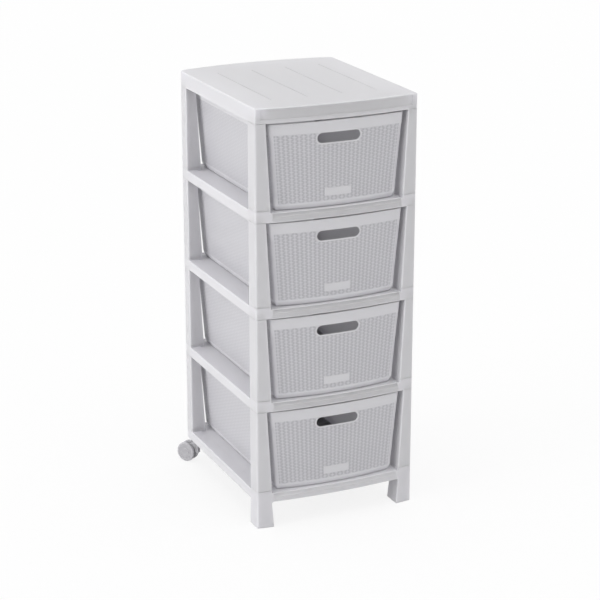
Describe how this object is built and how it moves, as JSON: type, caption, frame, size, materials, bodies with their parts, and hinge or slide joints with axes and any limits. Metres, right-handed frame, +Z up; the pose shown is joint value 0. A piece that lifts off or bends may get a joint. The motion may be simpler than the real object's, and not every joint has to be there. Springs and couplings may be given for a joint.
{
  "type": "plastic drawer tower",
  "caption": "Free-standing tower of moulded plastic with sliding woven-look drawers, front legs and rear twin-wheel castors.",
  "frame": {"origin": "on the floor, under the middle of the tower's bounding box", "axes": "+X to the tower's right as seen from the front, -Y out of the front where the drawers pull, +Z up"},
  "size_m": [0.3792, 0.42, 0.85],
  "materials": {
    "frame_plastic": "satin moulded polypropylene, pale cool grey",
    "drawer_plastic": "moulded polypropylene with a woven relief, pale cool grey",
    "castor_plastic": "glossy moulded nylon, pale grey",
    "castor_steel": "zinc-plated steel"
  },
  "bodies": {
    "frame": {"top_panel": "frame_plastic", "shelf_4": "frame_plastic", "shelf_3": "frame_plastic", "shelf_2": "frame_plastic", "base_shelf": "frame_plastic", "post_front_left_1": "frame_plastic", "post_front_left_2": "frame_plastic", "post_front_left_3": "frame_plastic", "post_front_left_4": "frame_plastic", "post_front_right_1": "frame_plastic", "post_front_right_2": "frame_plastic", "post_front_right_3": "frame_plastic", "post_front_right_4": "frame_plastic", "post_rear_left_1": "frame_plastic", "post_rear_left_2": "frame_plastic", "post_rear_left_3": "frame_plastic", "post_rear_left_4": "frame_plastic", "post_rear_right_1": "frame_plastic", "post_rear_right_2": "frame_plastic", "post_rear_right_3": "frame_plastic", "post_rear_right_4": "frame_plastic"},
    "drawer_1": {"drawer_1": "drawer_plastic"},
    "drawer_2": {"drawer_2": "drawer_plastic"},
    "drawer_3": {"drawer_3": "drawer_plastic"},
    "drawer_4": {"drawer_4": "drawer_plastic"},
    "castor_left": {"castor_left_fork": "castor_plastic", "castor_left_stem": "castor_steel", "castor_left_axle": "castor_steel"},
    "castor_left_wheel_outer": {"castor_left_wheel_outer": "castor_plastic"},
    "castor_left_wheel_inner": {"castor_left_wheel_inner": "castor_plastic"},
    "castor_right": {"castor_right_fork": "castor_plastic", "castor_right_stem": "castor_steel", "castor_right_axle": "castor_steel"},
    "castor_right_wheel_outer": {"castor_right_wheel_outer": "castor_plastic"},
    "castor_right_wheel_inner": {"castor_right_wheel_inner": "castor_plastic"}
  },
  "joints": [
    {"name": "drawer_1_slide", "type": "slide", "parent": "frame", "child": "drawer_1", "axis": [0, -1, 0], "range_m": [0, 0.3]},
    {"name": "drawer_2_slide", "type": "slide", "parent": "frame", "child": "drawer_2", "axis": [0, -1, 0], "range_m": [0, 0.3]},
    {"name": "drawer_3_slide", "type": "slide", "parent": "frame", "child": "drawer_3", "axis": [0, -1, 0], "range_m": [0, 0.3]},
    {"name": "drawer_4_slide", "type": "slide", "parent": "frame", "child": "drawer_4", "axis": [0, -1, 0], "range_m": [0, 0.3]},
    {"name": "castor_left_swivel", "type": "hinge", "parent": "frame", "child": "castor_left", "pos_m": [-0.1565, 0.168, 0.054], "axis": [0, 0, 1], "continuous": true},
    {"name": "castor_left_wheel_outer_spin", "type": "hinge", "parent": "castor_left", "child": "castor_left_wheel_outer", "pos_m": [-0.16912, 0.18602, 0.021], "axis": [0.8192, 0.5736, 0], "continuous": true},
    {"name": "castor_left_wheel_inner_spin", "type": "hinge", "parent": "castor_left", "child": "castor_left_wheel_inner", "pos_m": [-0.16912, 0.18602, 0.021], "axis": [0.8192, 0.5736, 0], "continuous": true},
    {"name": "castor_right_swivel", "type": "hinge", "parent": "frame", "child": "castor_right", "pos_m": [0.1565, 0.168, 0.054], "axis": [0, 0, 1], "continuous": true},
    {"name": "castor_right_wheel_outer_spin", "type": "hinge", "parent": "castor_right", "child": "castor_right_wheel_outer", "pos_m": [0.16912, 0.18602, 0.021], "axis": [0.8192, -0.5736, 0], "continuous": true},
    {"name": "castor_right_wheel_inner_spin", "type": "hinge", "parent": "castor_right", "child": "castor_right_wheel_inner", "pos_m": [0.16912, 0.18602, 0.021], "axis": [0.8192, -0.5736, 0], "continuous": true}
  ]
}
